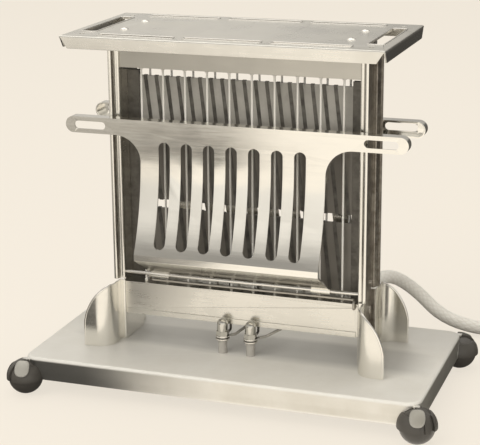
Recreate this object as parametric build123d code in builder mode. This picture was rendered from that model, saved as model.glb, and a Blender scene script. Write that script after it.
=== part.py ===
from build123d import *
import math
import os

# Drop side toaster. Millimetres, X along the length, -Y is the front, +Z up, floor at z = 0.

# ---------------- driving dimensions ----------------
sheet = 1.0                 # base, standards and tray
thin = 0.8                  # doors, headers and aprons
fit = 0.05                  # clearance of a part held in its own body
running = 0.08              # radial clearance of a hinge barrel on its rod
face_gap = 0.3              # gap between a closed door and the standards

# base
base_w, base_d = 225.0, 114.0
base_top = 21.5
skirt_bottom = 9.0
base_corner_r = 8.0
base_edge_r = 1.8
ball_r = 9.6
ball_z = 9.45
ball_x, ball_y = base_w / 2 - 1.0, base_d / 2 - 1.0
cup_r_in = ball_r + 0.2
cup_r_out = cup_r_in + sheet
cup_tab_w = 3.4             # claw over the top of each ball
cup_slit_w = 2.8
cup_side_top = 16.6         # top of the two side claws

# standards
web_in = 68.0
web_mid = web_in + sheet / 2
web_out = web_in + sheet
step_x, step_y = web_in + 2.4, 12.9     # narrow step where each flange leaves the web
edge_w, edge_y = 1.3, 15.9              # outer edge strip, forward of the step
edge_x = step_x + 1.5
flange_bend = sheet / 2     # of the middle line, so the inner corners are sharp
flange_bottom = 58.2
wing_root = step_x + 0.8
wing_r = 9.0
wing_x, wing_y = 86.4, 29.3
wing_edge_z, wing_top_z = 35.0, 57.3
tab_half, tab_in = 17.5, 56.0
rivet_x, rivet_y = 63.3, 14.6

# tray
tray_w, tray_d = 176.5, 88.6
tray_top = 200.3
tray_under = tray_top - sheet
flange_top = tray_under - 7.3
tray_end_x = tray_w / 2 - 9.25      # centre of the end slots and corner holes
tray_side_y = tray_d / 2 - 8.3      # centre of the long slots
tray_flange = 6.7
tray_mitre = 4.5

# headers and aprons
header_y = 12.0
header_top = tray_under - sheet
header_bottom = header_top - 19.3
lip_y = 5.2
apron_y = 12.4
apron_bottom = 37.3
side_rivet_y = 8.6
side_rivet_z = (apron_bottom + 9.2, header_bottom + 10.0)
ledge_top = 56.2
ledge_y = 0.4
hem_h, hem_t = 3.0, 0.6

# guard wires
wire_d = 1.2
wire_y = 6.5
wire_pitch = 12.8
wire_count = 10

# heating element
card_half_t = 0.7
card_half_w = web_in - 0.7
upper_card = (102.8, header_bottom - 6.0)
lower_card = (57.4, 97.8)
channel_in = 61.0
ribbon_t, ribbon_w, ribbon_pitch = 0.3, 2.0, 6.4
ribbon_slope = 0.113        # sideways run of a front strip for each mm of height
ribbon_turns = 9

# doors
hinge_y, hinge_z = 10.8, 61.7
rod_d = 2.2
barrel_r = 2.05
knuckle = (41.5, 52.3)
door_half = 52.3
face_y, face_tangent_z, face_r = 22.6, 135.0, 120.0
door_top = 152.4
lip_bottom, lip_top = 77.0, 80.0
ear_x, ear_h = 96.4, 9.0
root_r = 14.5
slot_pitch, slot_w, slot_low, slot_high = 12.8, 6.5, 83.6, 141.0
ear_slot = (72.8, 91.1, 4.3)
hook_x, hook_z = 66.1, 53.8
standard_front = edge_y + sheet / 2
rim_y = standard_front + face_gap

# terminals
stud_x, stud_y, stud_d = 8.2, 16.9, 3.0
sleeve_d = 5.0
block_h = 6.0
washer_z, washer_d = 29.5, 7.8
nut_flats, dome_d = 6.3, 6.1

# cord
cord_d = 8.0
bush_x, bush_z = 59.5, 47.2
relief_end = 34.0
coil_x, coil_y, coil_r = 198.0, 60.0, 48.0
plug_x = coil_x + 32.0


def box(x0, x1, y0, y1, z0, z1):
    """Plain block between two corners, kept outside any builder."""
    return Pos((x0 + x1) / 2, (y0 + y1) / 2, (z0 + z1) / 2) * Box(
        abs(x1 - x0), abs(y1 - y0), abs(z1 - z0), mode=Mode.PRIVATE)


def rod_along(axis, centre, d, length):
    """Round bar starting at centre and running along axis."""
    plane = Plane(origin=centre, z_dir=axis)
    return plane * Cylinder(d / 2, length, align=(Align.CENTER, Align.CENTER, Align.MIN), mode=Mode.PRIVATE)


def wire_path(points, d, bend):
    """Round wire through the points with rounded corners."""
    with BuildPart() as wire:
        with BuildLine() as path:
            FilletPolyline(*points, radius=bend)
        start = Plane(origin=path.line @ 0, z_dir=path.line % 0)
        with BuildSketch(start):
            Circle(d / 2)
        sweep()
    return wire.part


def save(builder, name):
    """Give the piece its name and write its own file."""
    builder.part.label = name
    export_step(builder.part, "parts/" + name + ".step")
    print(name, round(builder.part.volume, 1), "mm3", len(builder.part.solids()), "solid(s)")


os.makedirs("parts", exist_ok=True)
ends = (-1, 1)
corners = [(sx, sy) for sx in ends for sy in ends]

# ---------------- base plate with skirt and ball cups ----------------
with BuildPart() as hollow:
    with BuildSketch():
        RectangleRounded(base_w - 2 * sheet, base_d - 2 * sheet, base_corner_r - sheet)
    extrude(amount=30)
pan_hollow = hollow.part

with BuildPart() as base_plate:
    with BuildSketch(Plane.XY.offset(skirt_bottom)):
        RectangleRounded(base_w, base_d, base_corner_r)
    extrude(amount=base_top - skirt_bottom)
    fillet(base_plate.faces().sort_by(Axis.Z)[-1].edges(), base_edge_r)
    with BuildSketch(Plane.XY.offset(skirt_bottom)):
        RectangleRounded(base_w - 2 * sheet, base_d - 2 * sheet, base_corner_r - sheet)
    extrude(amount=base_top - sheet - skirt_bottom, mode=Mode.SUBTRACT)
    for sx, sy in corners:
        ball = Pos(sx * ball_x, sy * ball_y, ball_z)
        cup = ball * Sphere(cup_r_out, mode=Mode.PRIVATE)
        turn = math.degrees(math.atan2(sy, sx))
        sides = cup & box(-base_w, base_w, -base_d, base_d, skirt_bottom, cup_side_top)
        claw = Pos(sx * ball_x, sy * ball_y, 0) * Rot(0, 0, turn) * box(
            -6.0, 16.0, -cup_tab_w / 2, cup_tab_w / 2, skirt_bottom, base_top)
        add(sides - pan_hollow)
        add((cup & claw) - pan_hollow)
        # hollow for the ball, then the two slits beside the claw
        add(ball * Sphere(cup_r_in, mode=Mode.PRIVATE), mode=Mode.SUBTRACT)
        for side in ends:
            offset_y = side * (cup_tab_w + cup_slit_w) / 2
            slit = Pos(sx * ball_x, sy * ball_y, 0) * Rot(0, 0, turn) * box(
                -2.0, 16.0, offset_y - cup_slit_w / 2, offset_y + cup_slit_w / 2, 0, 30)
            add(slit, mode=Mode.SUBTRACT)
    # slots for the tabs of the standards, holes for the terminal sleeves
    for sx, sy in corners:
        add(box(sx * (web_in - fit), sx * (web_out + fit), sy * 8 - 3 - fit, sy * 8 + 3 + fit, 18, 30),
            mode=Mode.SUBTRACT)
    for sx in ends:
        add(rod_along((0, 0, 1), (sx * stud_x, -stud_y, 18), sleeve_d + 2 * fit, 10), mode=Mode.SUBTRACT)
save(base_plate, "base_plate")


# ---------------- ball feet ----------------
def make_foot(sx, sy):
    with BuildPart() as foot:
        with Locations((sx * ball_x, sy * ball_y, ball_z)):
            Sphere(ball_r)
        # stem that seats under the plate, inboard of the ball
        step = 4.2
        with BuildSketch(Plane.XY.offset(ball_z)):
            with Locations((sx * (ball_x - step), sy * (ball_y - step))):
                Circle(2.6)
        extrude(amount=base_top - sheet - ball_z)
        add(box(-base_w, base_w, -base_d, base_d, -5, 0), mode=Mode.SUBTRACT)
    return foot


names = {(-1, -1): "foot_front_left", (1, -1): "foot_front_right",
         (-1, 1): "foot_back_left", (1, 1): "foot_back_right"}
for key, name in names.items():
    save(make_foot(*key), name)


# ---------------- standards ----------------
def folded_sheet(points, bends, sx, sy):
    """Section of a sheet whose middle line bends at the points; sx and sy mirror it."""
    middle = [Vector(x, y) for x, y in points]
    runs = [(q - p).normalized() for p, q in zip(middle, middle[1:])]
    runs = [runs[0], *runs, runs[-1]]
    faces = []
    for half in (sheet / 2, -sheet / 2):
        face = []
        for p, r, before, after in zip(middle, (0, *bends, 0), runs, runs[1:]):
            n0, n1 = Vector(-before.Y, before.X), Vector(-after.Y, after.X)
            corner = p + (n0 + n1) * (half / (1 + n0.dot(n1)))
            turn = math.copysign(1, before.cross(after).Z)
            face.append(((sx * corner.X, sy * corner.Y), r - turn * half if r else 0))
        faces.append(face)
    outline = faces[0] + faces[1][::-1]
    with BuildSketch() as section:
        Polygon(*[corner for corner, r in outline], align=None)
        for corner, r in outline:
            if r > 0:
                fillet(section.vertices().sort_by_distance(corner)[0], r)
    return section.sketch


def make_standard(sx):
    with BuildPart() as standard:
        # flat web, full height, one folded tab at the top and two at the foot
        web_y = step_y - 1
        add(box(sx * web_in, sx * web_out, -web_y, web_y, base_top, tray_under))
        add(box(sx * web_in, sx * web_out, -tab_half, tab_half, flange_top + 0.6, tray_under))
        add(box(sx * tab_in, sx * web_out, -tab_half, tab_half, tray_under - sheet, tray_under))
        for sy in ends:
            add(box(sx * web_in, sx * web_out, sy * 8 - 3, sy * 8 + 3, base_top - 2 * sheet, base_top))
            add(box(sx * web_in, sx * (web_out + 6), sy * 8 - 3, sy * 8 + 3,
                    base_top - 2 * sheet, base_top - sheet))
        # stepped flanges above, and flared wings below that are cut to the curved outline
        bend_in = ((web_mid, web_y - 2), (web_mid, step_y))
        flange_path = (*bend_in, (step_x, step_y), (edge_x, edge_y), (edge_x + edge_w, edge_y))
        wing_path = (*bend_in, (wing_root, step_y), (wing_root, wing_y), (wing_x, wing_y))
        for sy in ends:
            with BuildSketch(Plane.XY.offset(flange_bottom)):
                add(folded_sheet(flange_path, (flange_bend,) * 3, sx, sy))
            extrude(amount=flange_top - flange_bottom)
        with BuildPart(mode=Mode.PRIVATE) as wings:
            for sy in ends:
                with BuildSketch(Plane.XY.offset(base_top)):
                    add(folded_sheet(wing_path, (flange_bend, flange_bend, wing_r), sx, sy))
                extrude(amount=wing_top_z - base_top)
            with BuildSketch(Plane.XZ.offset(-60)) as outline:
                with BuildLine():
                    Polyline((sx * 60, wing_top_z), (sx * 60, base_top), (sx * wing_x, base_top),
                             (sx * wing_x, wing_edge_z))
                    root = sx * (wing_root + sheet)
                    ThreePointArc((sx * wing_x, wing_edge_z), (sx * (wing_x - 5.2), wing_top_z - 8.7),
                                  (root, wing_top_z))
                    Line((root, wing_top_z), (sx * 60, wing_top_z))
                make_face()
            extrude(amount=120, mode=Mode.INTERSECT)
        add(wings.part)
        # holes for the hinge rods, the tray rivets and the side rivets
        for sy in ends:
            add(rod_along((sx, 0, 0), (sx * 60, sy * hinge_y, hinge_z), rod_d + 2 * fit, 20), mode=Mode.SUBTRACT)
            add(rod_along((0, 0, 1), (sx * rivet_x, sy * rivet_y, tray_under - 10), 2.8 + 2 * fit, 20),
                mode=Mode.SUBTRACT)
            for z in side_rivet_z:
                add(rod_along((sx, 0, 0), (sx * 60, sy * side_rivet_y, z), 2.4 + 2 * fit, 20), mode=Mode.SUBTRACT)
    return standard


for sx, name in ((-1, "left_standard"), (1, "right_standard")):
    save(make_standard(sx), name)

# ---------------- warming tray on top ----------------
with BuildPart() as top_tray:
    with BuildSketch(Plane.XY.offset(tray_under)):
        Rectangle(tray_w, tray_d)
    extrude(amount=sheet)
    low = tray_top - tray_flange
    for s in ends:
        with BuildSketch(Plane.XZ.offset(-s * tray_d / 2 if s > 0 else tray_d / 2 - sheet)):
            Polygon((-tray_w / 2, tray_top), (-tray_w / 2 + tray_mitre, low), (tray_w / 2 - tray_mitre, low),
                    (tray_w / 2, tray_top), align=None)
        extrude(amount=sheet)
        with BuildSketch(Plane.YZ.offset(tray_w / 2 - sheet if s > 0 else -tray_w / 2)):
            Polygon((-tray_d / 2, tray_top), (-tray_d / 2 + tray_mitre, low), (tray_d / 2 - tray_mitre, low),
                    (tray_d / 2, tray_top), align=None)
        extrude(amount=sheet)
    top_edges = top_tray.edges().filter_by_position(Axis.Z, tray_top - 0.01, tray_top + 0.01)
    fillet(top_edges, 0.8)
    with BuildSketch(Plane.XY.offset(tray_top)):
        with Locations(*[(x, s * tray_side_y) for x in (-48, 0, 48) for s in ends]):
            RectangleRounded(42, 4.5, 1.2)
        with Locations(*[(s * tray_end_x, 0) for s in ends]):
            RectangleRounded(8, 54, 1.5)
        with Locations(*[(sx * tray_end_x, sy * (tray_side_y - 1.5)) for sx, sy in corners]):
            Circle(1.5)
        with Locations(*[(sx * rivet_x, sy * rivet_y) for sx, sy in corners]):
            Circle(1.4 + fit)
    extrude(amount=-sheet, mode=Mode.SUBTRACT)
save(top_tray, "top_tray")

head_r, head_h = 2.5, 1.1
dome_r = (head_r ** 2 + head_h ** 2) / (2 * head_h)
with BuildPart() as tray_rivets:
    for sx, sy in corners:
        x, y = sx * rivet_x, sy * rivet_y
        add(rod_along((0, 0, 1), (x, y, header_top - 0.8), 4.4, 0.8))
        add(rod_along((0, 0, 1), (x, y, header_top - 0.1), 2.8, tray_top - header_top + 0.2))
        dome = Pos(x, y, tray_top + head_h - dome_r) * Sphere(dome_r, mode=Mode.PRIVATE)
        add(dome & box(x - 5, x + 5, y - 5, y + 5, tray_top, tray_top + 5))
save(tray_rivets, "tray_rivets")


# ---------------- headers, aprons and their rivets ----------------
def make_header(s):
    with BuildPart() as header:
        add(box(-web_in, web_in, s * (header_y - thin), s * header_y, header_bottom, header_top))
        add(box(-web_in, web_in, s * lip_y, s * header_y, header_bottom, header_bottom + thin))
        for sx in ends:
            add(box(sx * (web_in - thin), sx * web_in, s * 5.6, s * header_y, header_bottom + 1, header_top))
            add(rod_along((sx, 0, 0), (sx * 60, s * side_rivet_y, side_rivet_z[1]), 2.4 + 2 * fit, 20),
                mode=Mode.SUBTRACT)
        for i in range(wire_count):
            x = (i - (wire_count - 1) / 2) * wire_pitch
            add(rod_along((0, 0, 1), (x, s * wire_y, header_bottom - 9), wire_d + 2 * fit, 20), mode=Mode.SUBTRACT)
    return header


def make_apron(s):
    with BuildPart() as apron:
        add(box(-web_in, web_in, s * (apron_y - thin), s * apron_y, apron_bottom, ledge_top))
        add(box(-web_in, web_in, s * ledge_y, s * apron_y, ledge_top - thin, ledge_top))
        add(box(-web_in + 1, web_in - 1, s * apron_y, s * (apron_y + hem_t), apron_bottom, apron_bottom + hem_h))
        for sx in ends:
            add(box(sx * (web_in - thin), sx * web_in, s * 5.6, s * apron_y, apron_bottom + 1, ledge_top))
            add(rod_along((sx, 0, 0), (sx * 60, s * side_rivet_y, side_rivet_z[0]), 2.4 + 2 * fit, 20),
                mode=Mode.SUBTRACT)
        for i in range(wire_count):
            x = (i - (wire_count - 1) / 2) * wire_pitch
            add(rod_along((0, 0, 1), (x, s * wire_y, 50), wire_d + 2 * fit, 10), mode=Mode.SUBTRACT)
        # hole for the hooked end of the door spring
        add(rod_along((0, s, 0), (-s * hook_x, s * 8, hook_z), 1.4 + 2 * fit, 8), mode=Mode.SUBTRACT)
        if s < 0:
            for sx in ends:
                add(rod_along((0, 0, 1), (sx * stud_x, -3.2, 50), 2.2, 10), mode=Mode.SUBTRACT)
        else:
            add(rod_along((0, 1, 0), (bush_x, 8, bush_z), 10.0 + 2 * fit, 8), mode=Mode.SUBTRACT)
    return apron


def make_wires(s):
    with BuildPart() as wires:
        for i in range(wire_count):
            x = (i - (wire_count - 1) / 2) * wire_pitch
            add(rod_along((0, 0, 1), (x, s * wire_y, ledge_top - thin - 0.6), wire_d,
                          header_bottom + thin + 1.4 - ledge_top + thin + 0.6))
            # collar under the header lip and foot on the ledge
            add(rod_along((0, 0, 1), (x, s * wire_y, header_bottom - 1.2), 2.4, 1.2))
            add(rod_along((0, 0, 1), (x, s * wire_y, ledge_top), 2.0, 0.8))
    return wires


for s, side in ((-1, "front"), (1, "back")):
    save(make_header(s), side + "_header")
    save(make_apron(s), side + "_apron")
    save(make_wires(s), side + "_guard_wires")

with BuildPart() as side_rivets:
    for sx, sy in corners:
        for z in side_rivet_z:
            add(rod_along((sx, 0, 0), (sx * (web_in - thin - 0.8), sy * side_rivet_y, z), 4.0, 0.8))
            add(rod_along((sx, 0, 0), (sx * (web_in - thin), sy * side_rivet_y, z), 2.4, thin + sheet))
            add(rod_along((sx, 0, 0), (sx * web_out, sy * side_rivet_y, z), 4.4, 0.9))
save(side_rivets, "side_rivets")


# ---------------- heating element ----------------
def make_channel(sx):
    with BuildPart() as channel:
        add(box(sx * channel_in, sx * web_in, -1.5, 1.5, ledge_top, upper_card[1] + 3))
        for low, high in (lower_card, upper_card):
            top = high if high == lower_card[1] else high + 7
            add(box(sx * (channel_in - 2), sx * (card_half_w + fit), -card_half_t - fit, card_half_t + fit, low, top),
                mode=Mode.SUBTRACT)
    return channel


def make_card(span):
    with BuildPart() as card:
        add(box(-card_half_w, card_half_w, -card_half_t, card_half_t, *span))
    return card


def make_ribbon(span):
    """Two flat resistance ribbons wound side by side round a card."""
    z0, z1 = span[0] - ribbon_t, span[1] + ribbon_t
    half = card_half_t + ribbon_t
    w = ribbon_w / 2
    lean = ribbon_slope * (z1 - z0)
    step = 2 * ribbon_pitch
    with BuildPart() as ribbon:
        for i in range(ribbon_turns):
            for strand in (0, 1):
                x = -ribbon_turns * ribbon_pitch + i * step + strand * ribbon_pitch
                with BuildSketch(Plane.XZ.offset(card_half_t)):
                    Polygon((x + lean - w, z0), (x + lean + w, z0), (x + w, z1), (x - w, z1), align=None)
                extrude(amount=ribbon_t)
                add(box(x + lean - w, x + lean + w, -half, half, z0, z0 + ribbon_t))
                add(box(x - w, x + w, -half, half, z1 - ribbon_t, z1))
                if i < ribbon_turns - 1:
                    with BuildSketch(Plane.XZ.offset(-half)):
                        Polygon((x + lean - w, z0), (x + lean + w, z0), (x + step + w, z1), (x + step - w, z1),
                                align=None)
                    extrude(amount=ribbon_t)
    return ribbon


for sx, name in ((-1, "left_element_channel"), (1, "right_element_channel")):
    save(make_channel(sx), name)
for span, name in ((upper_card, "upper"), (lower_card, "lower")):
    save(make_card(span), name + "_mica_card")
    save(make_ribbon(span), name + "_heating_ribbon")


# ---------------- hinge rods and door springs ----------------
def make_rod(s):
    with BuildPart() as rod:
        add(rod_along((1, 0, 0), (-web_out, s * hinge_y, hinge_z), rod_d, 2 * web_out))
        for sx in ends:
            add(rod_along((sx, 0, 0), (sx * web_out, s * hinge_y, hinge_z), rod_d + 0.6, 0.9))
    return rod


def make_spring(s):
    """Straight torsion wire lying under the hinge rod, hooked into the apron."""
    z = hinge_z - barrel_r - 0.7 - 0.9
    points = [(s * 54.6, s * 8.2, hinge_z + 2.0), (s * 54.6, s * 8.2, z), (s * 52.0, s * hinge_y, z),
              (-s * hook_x, s * hinge_y, z), (-s * hook_x, s * 14.4, z), (-s * hook_x, s * 14.4, hook_z),
              (-s * hook_x, s * 10.6, hook_z)]
    with BuildPart() as spring:
        add(wire_path(points, 1.4, 1.1))
    return spring


for s, side in ((-1, "front"), (1, "back")):
    save(make_rod(s), side + "_hinge_rod")
    save(make_spring(s), side + "_door_spring")


# ---------------- doors ----------------
def strip(p, q, t):
    """Straight piece of sheet seen on edge, from p to q."""
    length = math.dist(p, q)
    angle = math.degrees(math.atan2(q[1] - p[1], q[0] - p[0]))
    return Pos((p[0] + q[0]) / 2, (p[1] + q[1]) / 2) * Rot(0, 0, angle) * Rectangle(length, t, mode=Mode.PRIVATE)


def door_outline():
    """Front view of a door: body, concave roots and two round-ended ears."""
    root_z = door_top - ear_h - root_r
    tip = ear_x - ear_h / 2
    with BuildSketch() as outline:
        with BuildLine():
            Line((-door_half, lip_bottom - 2), (door_half, lip_bottom - 2))
            for sx in ends:
                Line((sx * door_half, lip_bottom - 2), (sx * door_half, root_z))
                turn = root_r * (1 - math.sqrt(0.5))
                ThreePointArc((sx * door_half, root_z), (sx * (door_half + turn), root_z + root_r - turn),
                              (sx * (door_half + root_r), root_z + root_r))
                Line((sx * (door_half + root_r), root_z + root_r), (sx * tip, door_top - ear_h))
                ThreePointArc((sx * tip, door_top - ear_h), (sx * ear_x, door_top - ear_h / 2), (sx * tip, door_top))
            Line((-tip, door_top), (tip, door_top))
        make_face()
    return outline.sketch


def make_door(s):
    centre_y = face_y + face_r
    angle = math.degrees(math.asin((face_tangent_z - lip_top) / face_r))
    low_y = centre_y - face_r * math.cos(math.radians(angle))
    outline = door_outline()
    inner = offset(outline, amount=-thin, mode=Mode.PRIVATE)
    upper = Pos(0, door_top - 13.4) * Rectangle(2 * ear_x + 20, 28, mode=Mode.PRIVATE)
    shelf_end = (14.8, 64.3)
    with BuildPart() as door:
        # curved face, straight band and lip, seen from the side
        with BuildSketch(Plane.YZ.offset(-ear_x)):
            with BuildLine():
                a = math.radians(angle)
                mid = math.radians(angle / 2)
                for r, flip in ((face_r + thin / 2, 1), (face_r - thin / 2, -1)):
                    ThreePointArc((s * (centre_y - r), face_tangent_z),
                                  (s * (centre_y - r * math.cos(mid)), face_tangent_z - r * math.sin(mid)),
                                  (s * (centre_y - r * math.cos(a)), face_tangent_z - r * math.sin(a)))
                Line((s * (centre_y - face_r - thin / 2), face_tangent_z),
                     (s * (centre_y - face_r + thin / 2), face_tangent_z))
                Line((s * (centre_y - (face_r + thin / 2) * math.cos(a)),
                      face_tangent_z - (face_r + thin / 2) * math.sin(a)),
                     (s * (centre_y - (face_r - thin / 2) * math.cos(a)),
                      face_tangent_z - (face_r - thin / 2) * math.sin(a)))
            make_face()
            add(strip((s * face_y, face_tangent_z - 0.1), (s * face_y, door_top), thin))
            add(strip((s * low_y, lip_bottom), (s * low_y, lip_top + 0.2), thin))
            with Locations((s * low_y, lip_bottom), (s * low_y, lip_top)):
                Circle(thin / 2)
        extrude(amount=2 * ear_x)
        with BuildSketch(Plane.XZ.offset(-60)):
            add(outline)
        extrude(amount=120, mode=Mode.INTERSECT)
        # return shelf down to the hinge
        with BuildSketch(Plane.YZ.offset(-door_half)):
            add(strip((s * low_y, lip_bottom), (s * shelf_end[0], shelf_end[1]), thin))
            with Locations((s * low_y, lip_bottom)):
                Circle(thin / 2)
        extrude(amount=2 * door_half)
        # turned back rim round the band and the ears
        with BuildSketch(Plane.XZ.offset(face_y if s < 0 else -face_y)):
            add((outline - inner) & upper)
        extrude(amount=face_y - rim_y if s > 0 else rim_y - face_y)
        # hinge knuckles
        for sx in ends:
            x0 = min(sx * knuckle[0], sx * knuckle[1])
            with BuildSketch(Plane.YZ.offset(x0)):
                with Locations((s * hinge_y, hinge_z)):
                    Circle(barrel_r)
                add(strip((s * shelf_end[0], shelf_end[1]), (s * (hinge_y + 0.7), hinge_z + 1.45), thin))
                with Locations((s * shelf_end[0], shelf_end[1])):
                    Circle(thin / 2)
            extrude(amount=knuckle[1] - knuckle[0])
        add(rod_along((1, 0, 0), (-60, s * hinge_y, hinge_z), rod_d + 2 * running, 120), mode=Mode.SUBTRACT)
        # toast slots in the face and finger slots in the ears
        with BuildSketch(Plane.XZ.offset(-50 if s > 0 else 16)):
            with Locations(*[((i - 3) * slot_pitch, (slot_low + slot_high) / 2) for i in range(7)]):
                SlotOverall(slot_high - slot_low, slot_w, rotation=90)
            with Locations(*[(sx * (ear_slot[0] + ear_slot[1]) / 2, door_top - ear_h / 2) for sx in ends]):
                SlotOverall(ear_slot[1] - ear_slot[0], ear_slot[2])
        extrude(amount=34, mode=Mode.SUBTRACT)
    return door


save(make_door(-1), "front_door")
save(make_door(1), "back_door")

# ---------------- terminals ----------------
plate_under = base_top - sheet
with BuildPart() as terminal_block:
    add(box(-17, 17, -stud_y - 6.5, -stud_y + 6.5, plate_under - block_h, plate_under))
    for sx in ends:
        add(rod_along((0, 0, 1), (sx * stud_x, -stud_y, 5), stud_d + 2 * fit, 20), mode=Mode.SUBTRACT)
    fillet(terminal_block.edges().filter_by(Axis.Z).group_by(SortBy.LENGTH)[-1].filter_by_position(
        Axis.X, -17.1, -16.9) + terminal_block.edges().filter_by(Axis.Z).filter_by_position(
        Axis.X, 16.9, 17.1), 2.0)
save(terminal_block, "terminal_block")

nut_z = washer_z + 2.4
with BuildPart() as terminal_studs:
    for sx in ends:
        add(rod_along((0, 0, 1), (sx * stud_x, -stud_y, plate_under - block_h - 1.8), 6.0, 1.8))
        add(rod_along((0, 0, 1), (sx * stud_x, -stud_y, plate_under - block_h), stud_d,
                      nut_z + 7.0 - plate_under + block_h))
save(terminal_studs, "terminal_studs")

with BuildPart() as terminal_sleeves:
    for sx in ends:
        add(rod_along((0, 0, 1), (sx * stud_x, -stud_y, plate_under), sleeve_d, washer_z - plate_under)
            - rod_along((0, 0, 1), (sx * stud_x, -stud_y, 5), stud_d + 2 * fit, 40))
save(terminal_sleeves, "terminal_sleeves")

with BuildPart() as terminal_washers:
    for sx in ends:
        for z in (washer_z, washer_z + 1.6):
            add(rod_along((0, 0, 1), (sx * stud_x, -stud_y, z), washer_d, 0.8)
                - rod_along((0, 0, 1), (sx * stud_x, -stud_y, 5), stud_d + 2 * fit, 40))
save(terminal_washers, "terminal_washers")

with BuildPart() as acorn_nuts:
    for sx in ends:
        with BuildSketch(Plane.XY.offset(nut_z)):
            with Locations((sx * stud_x, -stud_y)):
                RegularPolygon(nut_flats / 2, 6, major_radius=False, rotation=30)
        extrude(amount=2.6)
        dome_z = nut_z + 9.7 - dome_d / 2
        add(rod_along((0, 0, 1), (sx * stud_x, -stud_y, nut_z + 2.6), dome_d, dome_z - nut_z - 2.6))
        add(Pos(sx * stud_x, -stud_y, dome_z) * Sphere(dome_d / 2, mode=Mode.PRIVATE))
        add(rod_along((0, 0, 1), (sx * stud_x, -stud_y, nut_z - 1), stud_d + 2 * fit, 8.2), mode=Mode.SUBTRACT)
save(acorn_nuts, "acorn_nuts")

ribbon_face = card_half_t + ribbon_t
eyelet_z = washer_z + 0.8
with BuildPart() as element_leads:
    for sx in ends:
        x = sx * stud_x
        ring = rod_along((0, 0, 1), (x, -stud_y, eyelet_z), 6.2, 0.4)
        tongue = box(x - 1.0, x + 1.0, -stud_y + 2.0, -stud_y + 6.0, eyelet_z, eyelet_z + 0.4)
        add(ring + tongue - rod_along((0, 0, 1), (x, -stud_y, 5), stud_d + 2 * fit, 40))
        add(wire_path([(x, -stud_y + 5.4, eyelet_z + 0.2), (x, -3.2, eyelet_z + 0.2), (x, -3.2, 60.2),
                       (x, -ribbon_face, 60.2)], 1.4, 1.4))
save(element_leads, "element_leads")

with BuildPart() as supply_leads:
    for sx in ends:
        x = sx * stud_x
        z = eyelet_z + 0.4
        ring = rod_along((0, 0, 1), (x, -stud_y, z), 6.2, 0.4)
        tongue = (Pos(x, -stud_y, 0) * Rot(0, 0, 48) * box(2.0, 6.0, -1, 1, z, z + 0.4))
        add(ring + tongue - rod_along((0, 0, 1), (x, -stud_y, 5), stud_d + 2 * fit, 40))
        near = (x + 3.6, -stud_y + 4.0, z + 0.2)
        if sx > 0:
            route = [near, (x + 6.6, -stud_y + 7.4, z + 0.2), (28, -4, 38), (50, -2.5, 44), (bush_x + 2, 0, bush_z),
                     (bush_x + 2, 9.0, bush_z)]
        else:
            route = [near, (x + 5.6, -stud_y + 6.3, z + 0.2), (3, 1.0, 34.5), (16, 4.5, 42), (40, 4.8, 46),
                     (bush_x - 2, 4.0, bush_z), (bush_x - 2, 9.0, bush_z)]
        add(wire_path(route, 1.6, 1.2))
save(supply_leads, "supply_leads")

# ---------------- cord ----------------
bush_plane = Plane(origin=(bush_x, 0, bush_z), x_dir=(1, 0, 0), z_dir=(0, 1, 0))
with BuildPart() as cord_bushing:
    for y0, y1, r in ((9.6, apron_y - thin, 6.0), (apron_y - thin, apron_y, 5.0), (apron_y, 14.6, 6.0)):
        add(rod_along((0, 1, 0), (bush_x, y0, bush_z), 2 * r, y1 - y0))
    add(rod_along((0, 1, 0), (bush_x, 5, bush_z), cord_d + 2 * fit, 20), mode=Mode.SUBTRACT)
save(cord_bushing, "cord_bushing")

with BuildPart() as cord_strain_relief:
    add(rod_along((0, 1, 0), (bush_x, 9.0, bush_z), cord_d, 6.0))
    with BuildSketch(Plane(origin=(bush_x, 14.6, bush_z), x_dir=(1, 0, 0), z_dir=(0, 1, 0))):
        Circle(cord_d / 2 + 1.8)
    with BuildSketch(Plane(origin=(bush_x, relief_end, bush_z), x_dir=(1, 0, 0), z_dir=(0, 1, 0))):
        Circle(cord_d / 2 + 0.4)
    loft()
save(cord_strain_relief, "cord_strain_relief")

floor_z = cord_d / 2 + 0.12
coil_half = cord_d + 0.2    # half the radial width of the coil section
coil_h = 3 * cord_d
entry_y = coil_y + coil_r + cord_d / 2
entry_x = coil_x - 30.0
cord_points = [(bush_x, relief_end, bush_z), (bush_x, 73.7, bush_z), (70.9, 104.3, 31.5), (94.3, 110.4, 5.6),
               (140, entry_y, floor_z), (entry_x, entry_y, floor_z)]


def corner_radii(points):
    """Bend radius at every corner of the route."""
    radii = []
    for a, b, c in zip(points, points[1:], points[2:]):
        u = Vector(*b) - Vector(*a)
        v = Vector(*c) - Vector(*b)
        half = math.radians(u.get_angle(v)) / 2
        radii.append(0.45 * min(u.length, v.length) / math.tan(half))
    return radii


def rounded_route(points):
    """Straight runs joined by arcs, each arc tangent to both runs."""
    edges = []
    here = Vector(*points[0])
    for (a, b, c), r in zip(zip(points, points[1:], points[2:]), corner_radii(points)):
        u = (Vector(*b) - Vector(*a)).normalized()
        v = (Vector(*c) - Vector(*b)).normalized()
        half = math.radians(u.get_angle(v)) / 2
        back = r * math.tan(half)
        p = Vector(*b) - u * back
        q = Vector(*b) + v * back
        inward = (v - u).normalized()
        m = Vector(*b) + inward * (r / math.cos(half) - r)
        edges.append(Edge.make_line(here, p))
        edges.append(Edge.make_three_point_arc(p, m, q))
        here = q
    edges.append(Edge.make_line(here, Vector(*points[-1])))
    return Wire(edges)


print("cord radii", [round(r, 1) for r in corner_radii(cord_points)])
route = rounded_route(cord_points)
with BuildPart() as cord_tube:
    with BuildSketch(Plane(origin=route @ 0, z_dir=route % 0)):
        Circle(cord_d / 2)
    sweep(path=route)
expected = math.pi * cord_d ** 2 / 4 * route.length
print("cord tube length", round(route.length, 1), "volume", round(cord_tube.part.volume, 1),
      "section x length", round(expected, 1))
save(cord_tube, "cord_tube")

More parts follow.
